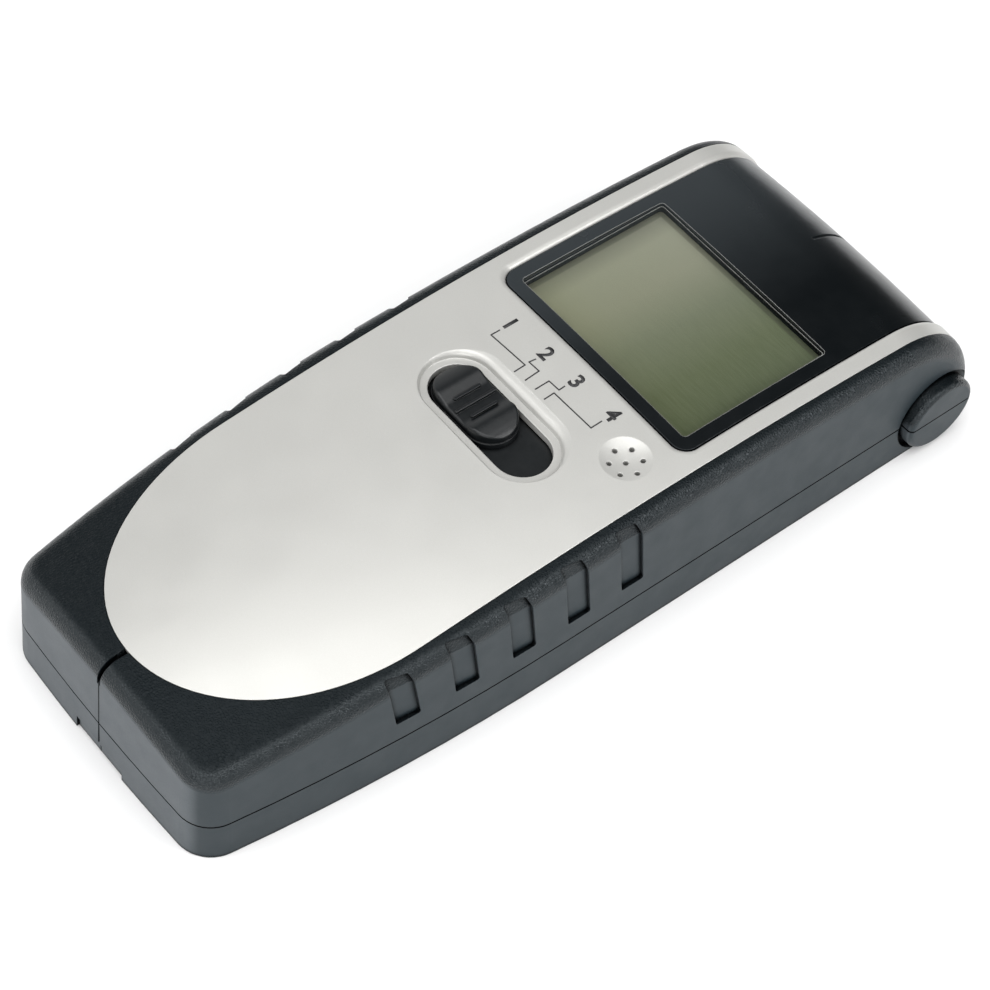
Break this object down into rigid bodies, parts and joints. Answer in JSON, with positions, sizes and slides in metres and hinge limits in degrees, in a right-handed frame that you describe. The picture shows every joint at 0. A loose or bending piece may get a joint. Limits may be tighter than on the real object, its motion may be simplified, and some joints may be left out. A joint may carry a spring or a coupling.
{
  "type": "stud finder",
  "caption": "Hand-held multi-mode wall scanner with an LCD window, a slide switch, a side start button and a battery door.",
  "frame": {"origin": "middle of the flat sensing face on the back of the case", "axes": "+Y towards the display end, +X to the user's right when reading the display, +Z out of the front face"},
  "size_m": [0.0706, 0.173, 0.0302],
  "materials": {
    "case_black": "satin",
    "plate_silver": "satin",
    "cover_black": "satin",
    "clear_lens": "gloss",
    "lcd_glass": "gloss",
    "lcd_backing": "satin",
    "inner_plastic": "matte",
    "grey_rubber": "matte",
    "knob_black": "satin",
    "steel_plate": "satin",
    "tinned_metal": "satin",
    "foam": "matte",
    "battery_wrap": "satin",
    "lead_red": "satin",
    "lead_black": "satin",
    "board_green": "satin",
    "chip_black": "matte",
    "capacitor_can": "satin",
    "chip_tan": "matte",
    "buzzer_black": "satin",
    "copper": "satin",
    "screw_steel": "satin"
  },
  "bodies": {
    "case": {"front_shell": "case_black", "back_shell": "case_black", "face_plate": "plate_silver", "head_cover": "cover_black", "display_lens": "clear_lens", "lcd_glass": "lcd_glass", "lcd_reflector": "lcd_backing", "lcd_holder": "inner_plastic", "zebra_strips": "grey_rubber", "mode_switch_housing": "steel_plate", "mode_switch_pins": "tinned_metal", "start_switch_body": "inner_plastic", "battery_case": "battery_wrap", "battery_terminals": "tinned_metal", "battery_snap_connector": "inner_plastic", "battery_lead_red": "lead_red", "battery_lead_black": "lead_black", "main_pcb": "board_green", "sensor_board": "board_green", "microcontroller": "chip_black", "driver_ic": "chip_black", "electrolytic_capacitors": "capacitor_can", "chip_capacitors": "chip_tan", "chip_resistors": "chip_black", "crystal": "tinned_metal", "buzzer": "buzzer_black", "sensor_electrodes": "copper", "search_coil": "copper", "coil_bobbin": "inner_plastic", "ac_antenna": "tinned_metal", "board_header": "chip_black", "header_pins": "tinned_metal", "case_screws": "screw_steel", "pcb_screws": "screw_steel"},
    "mode_slider": {"mode_slider_knob": "knob_black", "slider_shutter": "knob_black", "mode_switch_actuator": "inner_plastic"},
    "start_button": {"start_button_cap": "knob_black", "start_switch_plunger": "inner_plastic"},
    "door": {"battery_door": "case_black", "battery_foam_pad": "foam"}
  },
  "joints": [
    {"name": "mode_slide", "type": "slide", "parent": "case", "child": "mode_slider", "axis": [1, 0, 0], "range_m": [0, 0.0081]},
    {"name": "start_press", "type": "slide", "parent": "case", "child": "start_button", "axis": [1, 0, 0], "range_m": [0, 0.001], "stiffness_N_per_m": 250},
    {"name": "door_hinge", "type": "hinge", "parent": "case", "child": "door", "pos_m": [0, -0.0265, 0], "axis": [1, 0, 0], "range_deg": [0, 55]}
  ]
}
